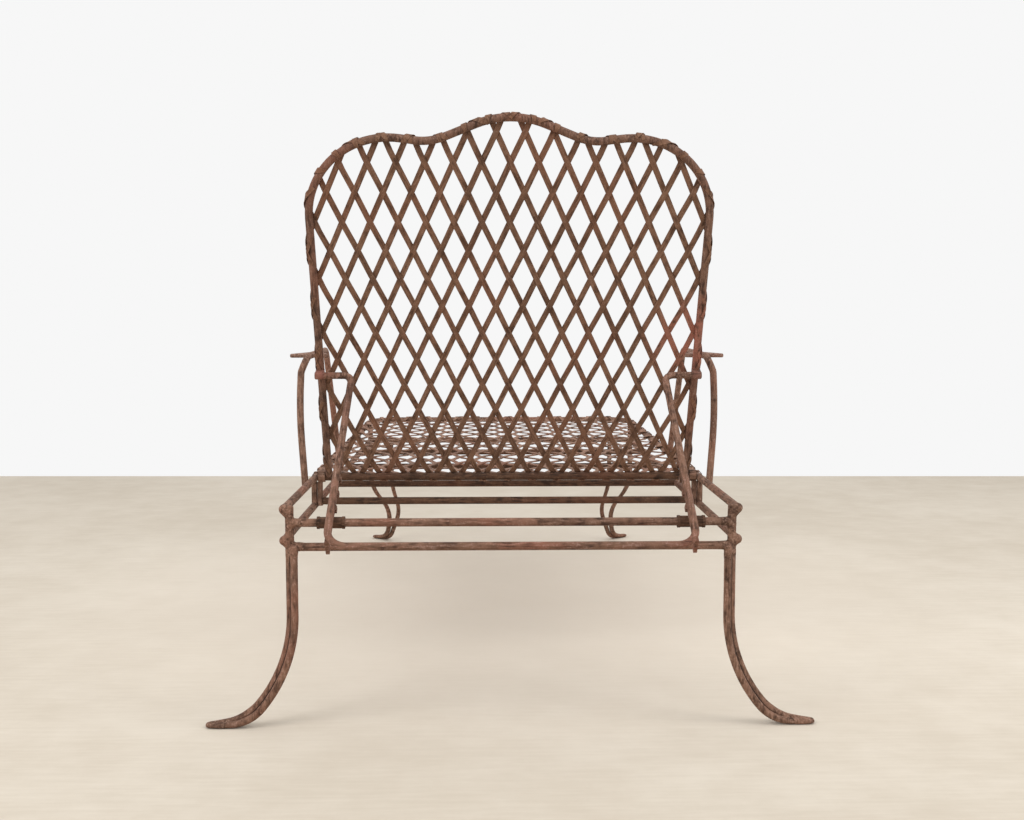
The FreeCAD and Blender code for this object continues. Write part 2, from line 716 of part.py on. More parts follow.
seat_line = rounded_path(
    [Vector(0, SEAT_REAR_Y, 0), Vector(-RAIL_X, SEAT_REAR_Y, 0), Vector(-RAIL_X, SEAT_FRONT_Y, 0),
     Vector(RAIL_X, SEAT_FRONT_Y, 0), Vector(RAIL_X, SEAT_REAR_Y, 0), Vector(0, SEAT_REAR_Y, 0)],
    [ROD_RADIUS + 2 * WELD_GAP, size("seat_corner_radius"), size("seat_corner_radius"),
     ROD_RADIUS + 2 * WELD_GAP])
seat_place = Placement(point(0, 0, UPPER_Z), Rotation())
seat_region = lattice_region(seat_line)
seat_start = SEAT_REAR_Y + size("lattice_start")
keep(lattice_layer("seat_strips_upper", seat_region, seat_start, 1, seat_place))
keep(lattice_layer("seat_strips_lower", seat_region, seat_start, -1, seat_place))
beside_seat = [Vector(sign * RAIL_X, run, 0) for sign in SIDES.values()
               for run in (SEAT_REAR_Y, ARM_FRONT_Y, FRONT_Y)]
keep(strip_wraps("seat_wraps", seat_line, seat_start, beside_seat, seat_place))


# Back: a bar bent round the sides and the shaped top, standing on the hinge shaft.
# It is drawn flat, with Y running up the back, and then leaned on the hinge.

def back_corners():
    peak = size("back_height")
    right = [
        Vector(BACK_X, 0, 0),
        Vector(BACK_X, peak - size("back_corner_drop"), 0),
        Vector(BACK_X * size("back_dip_ratio"), peak - size("back_dip_drop"), 0),
    ]
    left = [Vector(-c.x, c.y, 0) for c in reversed(right)]
    return right + [Vector(0, peak, 0)] + left


corner = BACK_X * size("back_corner_ratio")
dip = size("back_dip_radius")
BACK_RADII = [corner, dip, size("back_peak_radius"), dip, corner]
back_place = Placement(point(0, HINGE.y, HINGE.z), Rotation(RIGHT, 90 + size("back_lean_angle")))
back_blank = bent_rod("back_frame_blank", back_corners(), BACK_RADII, "rod_dia")
shaft_end = RAIL_X - ROD_RADIUS - size("side_play")
flat_ends = [Vector(-shaft_end, 0, 0), Vector(shaft_end, 0, 0)]
shaft_space = straight_rod("hinge_shaft_space", *flat_ends, "rod_dia", GAP)
back_frame = coped("back_frame", back_blank, [shaft_space])
back_frame.Placement = back_place
keep(back_frame)
keep(cross_bar("hinge_shaft", shaft_end, HINGE.y, HINGE.z))

arch = rounded_path(back_corners(), BACK_RADII)
bottom = Part.LineSegment(Vector(-BACK_X, 0, 0), Vector(BACK_X, 0, 0)).toShape()
back_line = Part.Wire(arch.Edges + [bottom])
back_region = lattice_region(back_line)
back_start = size("lattice_start")
keep(lattice_layer("back_strips_rear", back_region, back_start, 1, back_place))
keep(lattice_layer("back_strips_front", back_region, back_start, -1, back_place))
beside_back = [Vector(sign * BACK_X, along, 0) for sign in SIDES.values()
               for along in (0, size("pivot_along_back"))]
keep(strip_wraps("back_wraps", back_line, back_start, beside_back, back_place))


# Prop clips: a block on each side bar of the back, bored for that bar and for the prop's end.

def prop_clip(side):
    sign = SIDES[side]
    wide = size("clip_width")
    tall = size("prop_dia") + 2 * size("clip_wall")
    reach = size("pivot_behind_back")
    front_wall = ROD_RADIUS + size("clip_wall")
    rear_wall = PROP_RADIUS + size("clip_wall")
    label = f"prop_clip_{side}"
    block = document.addObject("Part::Box", label + "_block")
    block.setExpression("Length", "Sizes.clip_width")
    block.setExpression("Width", "Sizes.prop_dia + 2 * Sizes.clip_wall")
    block.Height = front_wall + reach + rear_wall
    centre = Vector(sign * BACK_X, size("pivot_along_back"), 0)
    block.Placement = Placement(centre - Vector(wide / 2, tall / 2, front_wall), Rotation())
    rise = Vector(0, tall, 0)
    side_bore = straight_rod(label + "_side_bore", centre - rise, centre + rise, "rod_dia", GAP)
    pin = centre + UP * reach
    pin_bore = straight_rod(label + "_pin_bore", pin - RIGHT * wide, pin + RIGHT * wide, "prop_dia",
                            "Sizes.hinge_fit")
    clip = coped(label, block, [side_bore, pin_bore])
    clip.Placement = back_place
    return clip


for side in SIDES:
    keep(prop_clip(side))


# Prop: a bail whose ends turn in the clips, with a toothed rack under each arm.

def prop_bail(label, growth="0"):
    end = BACK_X + size("clip_width") / 2
    right = [PIVOT + RIGHT * end, PIVOT + RIGHT * PROP_TOP_X, BAIL_FOOT + RIGHT * PROP_FOOT_X]
    left = [Vector(-c.x, c.y, c.z) for c in reversed(right)]
    bend = size("prop_bend_radius")
    turn = size("prop_end_radius")
    placed = [point(c.x, c.y, c.z) for c in right + left]
    return bent_rod(label, placed, [turn, bend, bend, turn], "prop_dia", growth)


TAB = CATCH_ALONG_ARM + size("rack_tab_lead")
TAB_END = TAB + size("rack_tab_width")


def rack_outline():
    """The rack's side view: X down the arm, Y away from it. Each tooth has a square lower face."""
    floor = size("catch_depth") - size("collar_dia") / 2 - size("seat_gap")
    tip = floor + size("tooth_depth")
    pitch = size("notch_pitch")
    top = CATCH_ALONG_ARM - size("notch_play") - NOTCHES * pitch
    outline = [Vector(top, size("rack_root"), 0), Vector(top, floor, 0)]
    for count in range(NOTCHES):
        step = CATCH_ALONG_ARM - size("notch_play") - (NOTCHES - 1 - count) * pitch
        outline.append(Vector(step, tip, 0))
        outline.append(Vector(step, floor, 0))
    outline.append(Vector(TAB_END, floor, 0))
    outline.append(Vector(TAB_END, size("rack_root"), 0))
    return outline


def tab_outline():
    """The stop that hangs from the rack's lower end, in the same view."""
    near = size("rack_root")
    far = size("rack_tab_depth")
    return [Vector(TAB, near, 0), Vector(TAB, far, 0), Vector(TAB_END, far, 0), Vector(TAB_END, near, 0)]


def rack_plate(label, corners, thickness, place):
    body = document.addObject("PartDesign::Body", label)
    sketch = body.newObject("Sketcher::SketchObject", label + "_outline")
    plane = next(f for f in body.Origin.OriginFeatures if f.Role == "XY_Plane")
    sketch.AttachmentSupport = (plane, "")
    sketch.MapMode = "FlatFace"
    for start, end in zip(corners, corners[1:] + corners[:1]):
        sketch.addGeometry(Part.LineSegment(start, end), False)
    plate = body.newObject("PartDesign::Pad", label + "_pad")
    plate.Profile = sketch
    plate.setExpression("Length", f"Sizes.{thickness}")
    plate.Midplane = True
    body.Placement = place
    return body


def prop_rack(side):
    """A toothed plate on the inner half of an arm, with a stop under the arm's middle."""
    label = f"prop_rack_{side}"
    sign = SIDES[side]
    down = (DOWN_ARM + RIGHT * (sign * PROP_SPREAD)).normalize()
    out = down.cross(UNDER_ARM)
    axes = FreeCAD.Matrix(down.x, UNDER_ARM.x, out.x, 0,
                          down.y, UNDER_ARM.y, out.y, 0,
                          down.z, UNDER_ARM.z, out.z, 0)
    top = side_point(side, PIVOT + RIGHT * PROP_TOP_X)
    teeth_place = Placement(top - out * (sign * size("rack_inset")), Rotation(axes))
    teeth = rack_plate(label + "_teeth", rack_outline(), "rack_thickness", teeth_place)
    stop = rack_plate(label + "_stop", tab_outline(), "rack_tab_thickness", Placement(top, Rotation(axes)))
    blank = joined(label + "_blank", "Part::MultiFuse", [teeth, stop])
    return coped(label, blank, [bail_tool])


keep(prop_bail("prop_bail"))
bail_tool = prop_bail("prop_bail_space", GAP)
for side in SIDES:
    keep(prop_rack(side))

# Every object has to be sound before anything is written.

document.recompute()
for item in document.Objects:
    if "Invalid" in item.State or "Error" in item.State:
        raise RuntimeError(f"{item.Label} could not be made: {item.State}")
for piece in parts:
    if piece.Shape.isNull() or not piece.Shape.isValid() or not piece.Shape.Solids:
        raise RuntimeError(f"{piece.Label} has no sound shape")

os.makedirs("parts", exist_ok=True)
for piece in parts:
    piece.Shape.exportStep(f"parts/{piece.Label}.step")
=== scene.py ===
import bisect
import json
import math
import random

import bmesh
import bpy
from mathutils import Matrix, Vector, geometry, noise


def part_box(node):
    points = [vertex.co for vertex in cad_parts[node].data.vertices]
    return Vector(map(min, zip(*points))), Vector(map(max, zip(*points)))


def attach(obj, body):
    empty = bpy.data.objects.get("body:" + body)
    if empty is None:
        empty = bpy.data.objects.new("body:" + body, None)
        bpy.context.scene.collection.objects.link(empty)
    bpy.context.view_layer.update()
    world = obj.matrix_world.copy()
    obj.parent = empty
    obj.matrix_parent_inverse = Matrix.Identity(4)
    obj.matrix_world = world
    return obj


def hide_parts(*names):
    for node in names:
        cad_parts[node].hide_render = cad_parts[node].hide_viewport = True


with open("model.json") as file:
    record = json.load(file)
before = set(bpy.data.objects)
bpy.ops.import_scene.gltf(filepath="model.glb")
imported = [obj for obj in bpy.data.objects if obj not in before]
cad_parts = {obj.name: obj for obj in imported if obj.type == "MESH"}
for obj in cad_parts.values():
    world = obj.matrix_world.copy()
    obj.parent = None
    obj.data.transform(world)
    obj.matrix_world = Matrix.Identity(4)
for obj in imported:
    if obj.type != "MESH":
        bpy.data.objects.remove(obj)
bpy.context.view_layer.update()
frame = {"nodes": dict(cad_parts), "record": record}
scene = bpy.context.scene
uneven = random.Random(11)

# Sizes are in metres, in the same frame as the solids. Each section starts with its own.
BAR_RADIUS = 0.00635
LEAN = math.radians(24.5)
ACROSS, LENGTHWISE, UPRIGHT = (1, 0, 0), (0, 1, 0), (0, 0, 1)
UP_THE_BACK = (0, -math.sin(LEAN), math.cos(LEAN))
SIDES = (("left", -1), ("right", 1))


# Finishes

STREAK_LENGTH = 0.020
STREAK_WIDTH = 0.0030
PATCH_GRAIN = 6.0
AGED_GRAIN = 9.0
MOTTLE_GRAIN = 60.0
SCALE_GRAIN = 340.0
PIT_GRAIN = 520.0
RELIEF_DEPTH = 0.0009
BEND_BLUR = 0.006
RED_PATCH_MIDDLE = (0.3120, -0.5160, 0.5890)
RED_PATCH_CORE, RED_PATCH_RIM = 0.025, 0.105
UP_THE_PROP = (0, 0.763, 0.646)
PROP_FOOT_TOP = 0.301


class Field:
    """A value that changes over a surface. Arithmetic on it adds Math nodes to its finish."""

    def __init__(self, finish, socket):
        self.finish = finish
        self.socket = socket

    def maths(self, operation, first, second):
        return self.finish.node("ShaderNodeMath", {"operation": operation}, {0: first, 1: second})

    def __add__(self, other):
        return self.maths("ADD", self, other)

    def __radd__(self, other):
        return self.maths("ADD", other, self)

    def __sub__(self, other):
        return self.maths("SUBTRACT", self, other)

    def __rsub__(self, other):
        return self.maths("SUBTRACT", other, self)

    def __mul__(self, other):
        return self.maths("MULTIPLY", self, other)

    def __rmul__(self, other):
        return self.maths("MULTIPLY", other, self)


class Finish:
    """One material, with one method that adds any node to it."""

    def __init__(self, name):
        self.material = bpy.data.materials.new(name)
        self.material.use_nodes = True
        self.tree = self.material.node_tree
        self.shader = self.tree.nodes["Principled BSDF"]

    def node(self, kind, settings=None, inputs=None, output=0):
        """Add a node, set it up, fill or link its inputs, and give one of its outputs."""
        made = self.tree.nodes.new(kind)
        for name, value in (settings or {}).items():
            setattr(made, name, value)
        self.fill(made, inputs or {})
        return Field(self, made.outputs[output])

    def fill(self, made, inputs):
        for name, value in inputs.items():
            if isinstance(value, Field):
                self.tree.links.new(value.socket, made.inputs[name])
            else:
                made.inputs[name].default_value = value

    def place(self):
        """Where a point lies on the object."""
        return self.node("ShaderNodeTexCoord", output=3)

    def distance(self, place, middle):
        return self.node("ShaderNodeVectorMath", {"operation": "DISTANCE"}, {0: place, 1: middle}, output=1)

    def stretched(self, place, scale, turn=(0, 0, 0)):
        """The same places, turned and drawn out, for a pattern that runs one way."""
        return self.node("ShaderNodeMapping", {"vector_type": "TEXTURE"},
                         {"Vector": place, "Rotation": turn, "Scale": scale})

    def grain(self, place, scale, detail, roughness=0.55):
        return self.node("ShaderNodeTexNoise", None,
                         {"Vector": place, "Scale": scale, "Detail": detail, "Roughness": roughness})

    def streaks(self, place, heading):
        """Fine drawn-out grain along a direction."""
        turn = Vector(ACROSS).rotation_difference(Vector(heading)).to_euler()
        drawn = self.stretched(place, (STREAK_LENGTH, STREAK_WIDTH, STREAK_WIDTH), turn)
        return self.grain(drawn, 1.0, 3.0)

    def band(self, value, low, high):
        """0 below low, 1 above high, and a smooth rise between."""
        return self.node("ShaderNodeMapRange", {"interpolation_type": "SMOOTHSTEP"},
                         {"Value": value, "From Min": low, "From Max": high})

    def blended(self, factor, first, second):
        return self.node("ShaderNodeMix", {"data_type": "RGBA"},
                         {0: factor, 6: first, 7: second}, output=2)


def tint(red, green, blue):
    """A colour as the eye reads it, 0 to 255, made ready for a shader."""
    def linear(value):
        value = value / 255
        return value / 12.92 if value <= 0.04045 else ((value + 0.055) / 1.055) ** 2.4
    return (linear(red), linear(green), linear(blue), 1.0)


def rusted_iron(name, heading, ground, shade, rust, worn, pitting, bend=None, red_patch=False):
    """Old iron under a coat of brown rust: streaks along its heading, red blotches, pits and rubbed patches.

    bend is for a bent bar: the heading of its upper run, and the height at which that takes over.
    red_patch adds the red patch round the back's right side bar, above the strap."""
    finish = Finish(name)
    place = finish.place()
    streaks = finish.streaks(place, heading)
    if bend:
        upper_heading, change = bend
        height = finish.node("ShaderNodeSeparateXYZ", None, {0: place}, output=2)
        upper = finish.band(height, change - BEND_BLUR, change + BEND_BLUR)
        streaks = streaks * (1 - upper) + finish.streaks(place, upper_heading) * upper
    patches = finish.grain(place, PATCH_GRAIN, 3.0)
    aged = finish.grain(place, AGED_GRAIN, 4.0)
    mottle = finish.grain(place, MOTTLE_GRAIN, 4.0)
    scale = finish.grain(place, SCALE_GRAIN, 4.0, 0.65)
    pits = finish.node("ShaderNodeTexVoronoi", {"feature": "F1"}, {"Vector": place, "Scale": PIT_GRAIN})
    colour = finish.blended(finish.band(streaks * 0.45 + mottle * 0.55, 0.34, 0.58), shade, ground)
    colour = finish.blended(finish.band(patches * 0.7 + streaks * 0.3, 0.48, 0.64) * 0.85, colour, rust)
    colour = finish.blended(finish.band(aged * 0.75 + streaks * 0.25, 0.50, 0.66) * 0.55, colour, shade)
    if red_patch:
        near = 1 - finish.band(finish.distance(place, RED_PATCH_MIDDLE), RED_PATCH_CORE, RED_PATCH_RIM)
        red = near * finish.band(mottle * 0.5 + streaks * 0.5, 0.36, 0.56)
        colour = finish.blended(red * 0.8, colour, tint(156, 95, 80))
    rubbed = finish.band(scale * 0.5 + streaks * 0.5, 0.49, 0.68)
    colour = finish.blended(rubbed * 0.55, colour, worn)
    hollow = 1 - finish.band(pits, 0.12, 0.42)
    colour = finish.blended(hollow * finish.band(scale, 0.44, 0.62) * 0.4, colour, shade)
    relief = scale * 0.7 + mottle * 0.35 + streaks * 0.3 - hollow * 0.35
    bump = finish.node("ShaderNodeBump", None,
                       {"Strength": pitting, "Distance": RELIEF_DEPTH, "Height": relief})
    finish.fill(finish.shader, {
        "Base Color": colour,
        "Roughness": 0.64 + 0.22 * scale + 0.08 * mottle,
        "Metallic": 0.05,
        "Specular IOR Level": 0.3,
        "Normal": bump})
    return finish.material


def bar_finish(name, heading):
    return rusted_iron(name, heading, tint(128, 95, 77), tint(62, 41, 29), tint(128, 84, 66),
                       tint(176, 145, 126), 0.30)


def back_strip_finish(name, heading):
    return rusted_iron(name, heading, tint(120, 87, 67), tint(76, 51, 36), tint(119, 78, 58),
                       tint(148, 119, 100), 0.28, red_patch=True)


def seat_strip_painted_light_finish(name, heading):
    """Lighter than the back's strips, with a darker shade colour: painted light and shade for the seat's lit
    tops and shaded undersides.
    """
    return rusted_iron(name, heading, tint(140, 106, 87), tint(56, 36, 24), tint(124, 82, 63),
                       tint(186, 157, 139), 0.28)


cross_iron = bar_finish("rusted_cross_bar_iron", ACROSS)
rail_iron = bar_finish("rusted_rail_iron", LENGTHWISE)
post_iron = bar_finish("rusted_post_iron", UPRIGHT)
# Painted shade: a darker copy of the bar iron for the bars that lie in the shade under the seat and the
# back's hinge.
painted_shade_iron = rusted_iron("bar_iron_painted_shade", ACROSS, tint(86, 59, 42), tint(46, 29, 18),
                             tint(92, 57, 40), tint(124, 96, 78), 0.30)
# Painted light: a lighter, more contrasted copy of the bar iron for the arms, which catch more of the light.
painted_light_arm_finish = rusted_iron("arm_rust_painted_light", UPRIGHT, tint(134, 101, 83), tint(70, 47, 35),
                       tint(131, 88, 70), tint(182, 152, 134), 0.28)
back_iron = rusted_iron("rusted_back_bar_iron", UP_THE_BACK, tint(115, 84, 68), tint(60, 40, 30),
                        tint(118, 76, 60), tint(154, 125, 109), 0.34, red_patch=True)
prop_iron = rusted_iron("rubbed_prop_iron", ACROSS, tint(124, 91, 73), tint(64, 42, 30),
                        tint(128, 80, 64), tint(176, 146, 132), 0.28, bend=(UP_THE_PROP, PROP_FOOT_TOP))
strap_iron = rusted_iron("red_strap_iron", ACROSS, tint(126, 86, 72), tint(76, 49, 38),
                         tint(136, 82, 70), tint(160, 124, 110), 0.30)
# Painted shade: a dark finish for the thin bar laid along each rear leg's groove, where the two bars meet in
# shade.
groove_shade_iron = rusted_iron("painted_groove_shade", UPRIGHT, tint(58, 39, 29), tint(40, 27, 20),
                   tint(62, 38, 27), tint(74, 52, 40), 0.20)
pad_iron = rusted_iron("rubbed_pad_iron", LENGTHWISE, tint(136, 106, 90), tint(92, 66, 54),
                       tint(134, 90, 74), tint(176, 150, 136), 0.28)


# Making pieces

SHARP_ANGLE = math.radians(38)
ROUNDED_ANGLE = math.radians(50)


def smoothstep(value):
    """0 below 0, 1 above 1, and a smooth rise between."""
    value = min(1.0, max(0.0, value))
    return value * value * (3 - 2 * value)


def middle_of(node):
    """The middle of a solid's box."""
    return [(low + high) / 2 for low, high in zip(*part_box(node))]


def add_shape(mesh, shape):
    """Add one shape to a mesh that gathers several."""
    blank = bpy.data.meshes.new("shape")
    shape.to_mesh(blank)
    shape.free()
    mesh.from_mesh(blank)
    bpy.data.meshes.remove(blank)


def long_edges(shape, axis):
    """The edges of a new cube or cylinder of length 1 that run along an axis."""
    return [edge for edge in shape.edges if abs(edge.verts[0].co[axis] - edge.verts[1].co[axis]) > 0.5]


def finished_piece(name, mesh, finish, body, nodes=()):
    """Turn a bmesh into a piece that rides on a body and takes a finish."""
    data = bpy.data.meshes.new(name)
    mesh.to_mesh(data)
    mesh.free()
    data.materials.append(finish)
    data.shade_smooth()
    data.set_sharp_from_angle(angle=SHARP_ANGLE)
    piece = bpy.data.objects.new(name, data)
    scene.collection.objects.link(piece)
    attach(piece, body)
    if nodes:
        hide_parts(*nodes)
    return piece


def round_edges(piece, width):
    rounding = piece.modifiers.new("rounded_edges", "BEVEL")
    rounding.width = width
    rounding.segments = 1
    rounding.limit_method = "ANGLE"
    rounding.angle_limit = ROUNDED_ANGLE


# Lines that bars and strips follow

BEND_STEP_DEGREES = 1.5
STRIP_END_MARGIN = 0.008


class Panel:
    """The flat field of a lattice: its origin, its long direction and the side that the sitter leans on."""

    def __init__(self, origin, along, sitter_side):
        self.origin = Vector(origin)
        self.along = Vector(along)
        self.sitter_side = Vector(sitter_side)

    def spot(self, flat, height):
        return self.origin + Vector((flat.x, 0, 0)) + self.along * flat.y + self.sitter_side * height

    def way(self, flat):
        return Vector((flat.x, 0, 0)) + self.along * flat.y


class BarLine:
    """The middle line of a bar, its bends rounded. Corners are flat, in a panel's own plane, or solid.

    margin is kept clear at both ends. winding is the least and the most that a strip winds round the bar,
    in degrees."""

    def __init__(self, corners, bends, margin=STRIP_END_MARGIN, winding=None):
        size = len(corners[0])
        corners = [Vector(corner).to_3d() for corner in corners]
        points = [corners[0]]
        for before, corner, after, bend in zip(corners, corners[1:], corners[2:], bends):
            back, onward = (before - corner).normalized(), (after - corner).normalized()
            half = back.angle(onward) / 2
            middle = corner + (back + onward).normalized() * (bend / math.sin(half))
            arm = corner + back * (bend / math.tan(half)) - middle
            turn = math.pi - 2 * half
            steps = max(2, round(math.degrees(turn) / BEND_STEP_DEGREES))
            for step in range(steps + 1):
                points.append(middle + Matrix.Rotation(turn * step / steps, 3, onward.cross(back)) @ arm)
        points.append(corners[-1])
        self.points = [Vector(point[:size]) for point in points]
        self.runs = [0.0]
        for first, second in zip(self.points, self.points[1:]):
            self.runs.append(self.runs[-1] + (second - first).length)
        self.margin = margin
        self.winding = winding

    def at(self, run):
        """The point and the direction at a length along the bar."""
        run = min(self.runs[-1] - self.margin, max(self.margin, run))
        index = min(len(self.points) - 2, bisect.bisect_right(self.runs, run) - 1)
        first, second = self.points[index], self.points[index + 1]
        direction = (second - first).normalized()
        return first + direction * (run - self.runs[index]), direction

    def meetings(self, start, end):
        """Where a straight line meets the bar: each point, its length along the bar, and the bar."""
        found = []
        for index, (first, second) in enumerate(zip(self.points, self.points[1:])):
            hit = geometry.intersect_line_line_2d(start, end, first, second)
            if hit is not None:
                found.append((hit, self.runs[index] + (hit - first).length, self))
        return found


# Woven lattices

STRIP_WIDTH = 0.0093
STRIP_THICKNESS = 0.002
STRIP_EDGE = 0.0006
STRIP_SPACING = 0.0443
DIAMOND_LENGTH = 0.0975
FIRST_CROSSING = 0.087
STRIPS_EACH_SIDE = 34
FIELD_START, FIELD_END = -0.3, 1.5
SHORTEST_STRIP = 0.034
STATION_SPACING = 0.0115
FEWEST_STEPS = 6
WEAVE_GAP = 0.0001
FALLING_LIFT = 0.0005
# The run over which a strip climbs from the lattice to the sitter's side of a bar.
LONGEST_CLIMB = 0.044
SQUARE_CLIMB = 0.019
CLIMB_SHARE = 0.45
# The ends that wind round the bars.
WOUND_STATIONS = 13
LOOSEST_WINDING = 0.0011
TIP_SPRING = 0.0006
TIP_TAPER = 0.45
BEATEN_THIN = 0.52
FRAME_WINDING = (165, 222)
HINGE_WINDING = (128, 160)
SEAT_REAR_WINDING = (150, 190)
# Corners of the back's top before they are rounded, as heights up the back. The dip lies off the middle.
SHOULDER, DIP, CREST = 0.633, (0.1238, 0.606), 0.657
SHOULDER_BEND, DIP_BEND, CREST_BEND = 0.1302, 0.090, 0.140
SEAT_CORNER_BEND = 0.070


def wound_end(panel, meeting, heading, lift, turn, slack):
    """The stations of a strip's end as it winds round a bar from the sitter's side, outwards and under.

    A station is a spot, the way that the strip faces, and the shares of its width and thickness."""
    run, bar = meeting[1:]
    direction = bar.at(run)[1]
    outward = Vector((-direction.y, direction.x))
    side = 1 if outward.dot(heading) > 0 else -1
    drift = direction.dot(heading)
    length = turn * (BAR_RADIUS + STRIP_THICKNESS / 2) / abs(outward.dot(heading))
    stations = []
    for step in range(1, WOUND_STATIONS + 1):
        share = step / WOUND_STATIONS
        middle, direction = bar.at(run + drift * length * share)
        outward = Vector((-direction.y, direction.x)) * side
        angle = turn * share
        spoke = panel.sitter_side * math.cos(angle) + panel.way(outward) * math.sin(angle)
        bulge = slack * math.sin(math.pi * share) + TIP_SPRING * share ** 3
        # Beaten thin from the start, and narrower towards the tip.
        breadth = 1 - TIP_TAPER * smoothstep(2.2 * share - 1.2)
        thin = 1 - BEATEN_THIN * smoothstep(3.5 * share)
        radius = BAR_RADIUS + STRIP_THICKNESS * thin / 2 + lift + bulge
        stations.append((panel.spot(middle, 0) + spoke * radius, spoke, breadth, thin))
    return stations


def strip_stations(panel, low, high, rising, turns, slacks):
    """The line of one strip from tip to tip: wound end, woven run, wound end."""
    heading = (high[0] - low[0]).normalized()
    span = (high[0] - low[0]).length
    lift = 0.0 if rising > 0 else FALLING_LIFT
    height = BAR_RADIUS + STRIP_THICKNESS / 2 + lift
    climbs = []
    for meeting in (low, high):
        direction = meeting[2].at(meeting[1])[1]
        steep = abs(direction.x * heading.y - direction.y * heading.x)
        climbs.append(min(LONGEST_CLIMB, SQUARE_CLIMB / steep, span * CLIMB_SHARE))
    stations = wound_end(panel, low, -heading, lift, turns[0], slacks[0])
    stations.reverse()
    steps = max(FEWEST_STEPS, round(span / STATION_SPACING))
    for step in range(steps + 1):
        travelled = span * step / steps
        flat = low[0] + heading * travelled
        wave = math.cos(2 * math.pi * (flat.y - FIRST_CROSSING) / DIAMOND_LENGTH)
        woven = rising * wave * (STRIP_THICKNESS / 2 + WEAVE_GAP)
        near_low = smoothstep(1 - travelled / climbs[0])
        near_high = smoothstep(1 - (span - travelled) / climbs[1])
        rise = woven * (1 - near_low) * (1 - near_high) + height * (near_low + near_high)
        stations.append((panel.spot(flat, rise), panel.sitter_side, 1.0, 1.0))
    stations.extend(wound_end(panel, high, heading, lift, turns[1], slacks[1]))
    return stations


def lay_strip(mesh, stations):
    """Lay one flat strip along its stations: a bar with a ring of edges at each of them."""
    strip = bmesh.new()
    bmesh.ops.create_cube(strip, size=1.0)
    bmesh.ops.subdivide_edges(strip, edges=long_edges(strip, 0), cuts=len(stations) - 2)
    last = len(stations) - 1
    for vertex in strip.verts:
        index = round((vertex.co.x + 0.5) * last)
        spot, facing, breadth, thin = stations[index]
        travel = (stations[min(last, index + 1)][0] - stations[max(0, index - 1)][0]).normalized()
        across = facing.cross(travel).normalized()
        upward = travel.cross(across)
        vertex.co = (spot + across * (vertex.co.y * STRIP_WIDTH * breadth)
                     + upward * (vertex.co.z * STRIP_THICKNESS * thin))
    add_shape(mesh, strip)


def weave(name, panel, bars, rising, body, finisher, nodes=()):
    """One set of a lattice's parallel strips. rising is 1 or -1, for the way that they lean."""
    mesh = bmesh.new()
    slope = rising * STRIP_SPACING / DIAMOND_LENGTH
    for count in range(-STRIPS_EACH_SIDE, STRIPS_EACH_SIDE + 1):
        first, last = [Vector((STRIP_SPACING * count + slope * (along - FIRST_CROSSING), along))
                       for along in (FIELD_START, FIELD_END)]
        found = [meeting for bar in bars for meeting in bar.meetings(first, last)]
        found.sort(key=lambda meeting: meeting[0].y)
        for low, high in zip(found[0::2], found[1::2]):
            turns = [math.radians(uneven.uniform(*bar.winding)) for bar in (low[2], high[2])]
            slacks = [LOOSEST_WINDING * uneven.random() ** 2 for _ in range(2)]
            if (high[0] - low[0]).length > SHORTEST_STRIP:
                lay_strip(mesh, strip_stations(panel, low, high, rising, turns, slacks))
    bmesh.ops.recalc_face_normals(mesh, faces=mesh.faces)
    heading = panel.way(Vector((slope, 1)).normalized())
    piece = finished_piece(name, mesh, finisher("rusted_" + name, heading), body, nodes)
    round_edges(piece, STRIP_EDGE)


hinge_y, hinge_z = middle_of("hinge_shaft")[1:]
back_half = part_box("back_frame")[1][0] - BAR_RADIUS
back_panel = Panel((0, hinge_y, hinge_z), UP_THE_BACK, (0, math.cos(LEAN), math.sin(LEAN)))
back_bar = BarLine([(back_half, 0), (back_half, SHOULDER), DIP, (0, CREST),
                    (-DIP[0], DIP[1]), (-back_half, SHOULDER), (-back_half, 0)],
                   [SHOULDER_BEND, DIP_BEND, CREST_BEND, DIP_BEND, SHOULDER_BEND], winding=FRAME_WINDING)
hinge_bar = BarLine([(-back_half, 0), (back_half, 0)], [], winding=HINGE_WINDING)
weave("back_weave_rising", back_panel, [back_bar, hinge_bar], 1, "back", back_strip_finish,
      ["back_strips_rear", "back_strips_front", "back_wraps"])
weave("back_weave_falling", back_panel, [back_bar, hinge_bar], -1, "back", back_strip_finish)

seat_front_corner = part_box("seat_frame")[1]
seat_half = seat_front_corner[0] - BAR_RADIUS
seat_rear_y, seat_z = middle_of("seat_rear_bar")[1:]
seat_length = seat_front_corner[1] - BAR_RADIUS - seat_rear_y
seat_panel = Panel((0, seat_rear_y, seat_z), LENGTHWISE, UPRIGHT)
seat_bar = BarLine([(seat_half, 0), (seat_half, seat_length), (-seat_half, seat_length), (-seat_half, 0)],
                   [SEAT_CORNER_BEND, SEAT_CORNER_BEND], winding=FRAME_WINDING)
seat_rear_line = BarLine([(-seat_half, 0), (seat_half, 0)], [], winding=SEAT_REAR_WINDING)
weave("seat_weave_rising", seat_panel, [seat_bar, seat_rear_line], 1, "frame", seat_strip_painted_light_finish,
      ["seat_strips_upper", "seat_strips_lower", "seat_wraps"])
weave("seat_weave_falling", seat_panel, [seat_bar, seat_rear_line], -1, "frame", seat_strip_painted_light_finish)


# Legs: two bars side by side that run together and flatten into a rounded toe

POST_RADIUS = 0.0065
LEG_RADIUS = 0.00575
POST_INSET = 0.008
PAIR_ACROSS = 0.00994
OUTER_FOOT_HEIGHT = 0.01355
INNER_FOOT_HEIGHT = 0.00605
FOOT_LENGTH = 0.028
TOE_HALF = 0.0040
TOE_TIP = 0.011
MOST_ROUNDING = 0.97
OUTER_TOE_GAP, INNER_TOE_GAP = 0.0004, 0.0003
OUTER_TOE_SHIFT, INNER_TOE_SHIFT = 0.0022, -0.0018
FLATTENING_START, FLATTENING_LENGTH = 0.050, 0.078
CLOSING_START, CLOSING_LENGTH = 0.030, 0.036
FLOOR_GAP = 0.0002
RING_SPACING = 0.0065
